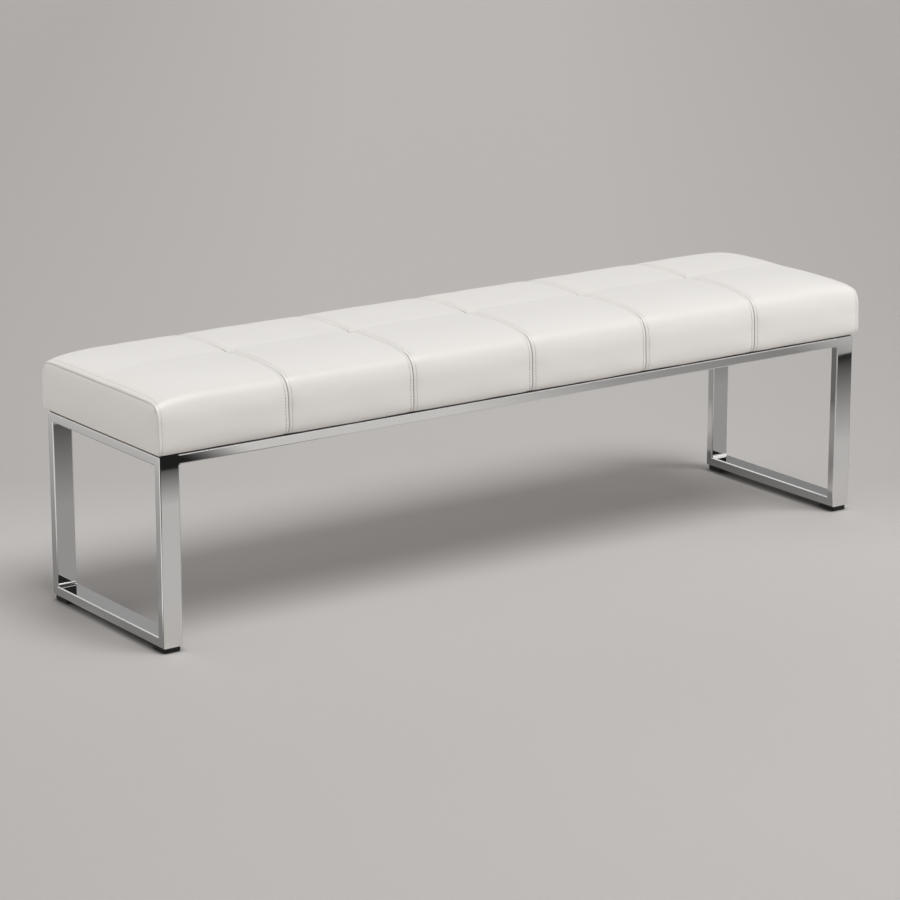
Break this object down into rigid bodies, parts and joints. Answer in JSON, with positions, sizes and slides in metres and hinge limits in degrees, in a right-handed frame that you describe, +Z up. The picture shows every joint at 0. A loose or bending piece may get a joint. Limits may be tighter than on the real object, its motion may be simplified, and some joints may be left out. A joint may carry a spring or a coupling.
{
  "type": "upholstered bench",
  "caption": "Long backless bench: a stitched, panelled leather seat on a chromed flat-tube frame whose closed end loops stand on black glides.",
  "frame": {"origin": "on the floor under the middle of the bench", "axes": "+X along the bench to the right seen from the front, +Y to the back, +Z up"},
  "size_m": [1.518, 0.3936, 0.453],
  "materials": {
    "chromed_steel": "polished",
    "glide_plastic": "matte",
    "leather": "satin",
    "zinc_steel": "satin",
    "plywood": "matte",
    "foam": "matte",
    "dust_cloth": "matte"
  },
  "bodies": {
    "root": {"base_board": "plywood", "board_inserts": "zinc_steel", "dust_cover": "dust_cloth", "foam_core": "foam", "front_panel_1": "leather", "front_panel_2": "leather", "front_panel_3": "leather", "front_panel_4": "leather", "front_panel_5": "leather", "front_panel_6": "leather", "front_rail": "chromed_steel", "left_bottom_bar": "chromed_steel", "left_brace": "chromed_steel", "left_end_panel": "leather", "left_front_glide": "glide_plastic", "left_front_leg": "chromed_steel", "left_loop_welds": "chromed_steel", "left_rear_glide": "glide_plastic", "left_rear_leg": "chromed_steel", "left_top_bar": "chromed_steel", "rail_welds": "chromed_steel", "rear_panel_1": "leather", "rear_panel_2": "leather", "rear_panel_3": "leather", "rear_panel_4": "leather", "rear_panel_5": "leather", "rear_panel_6": "leather", "rear_rail": "chromed_steel", "right_bottom_bar": "chromed_steel", "right_brace": "chromed_steel", "right_end_panel": "leather", "right_front_glide": "glide_plastic", "right_front_leg": "chromed_steel", "right_loop_welds": "chromed_steel", "right_rear_glide": "glide_plastic", "right_rear_leg": "chromed_steel", "right_top_bar": "chromed_steel", "seat_bolts": "zinc_steel"}
  },
  "joints": []
}
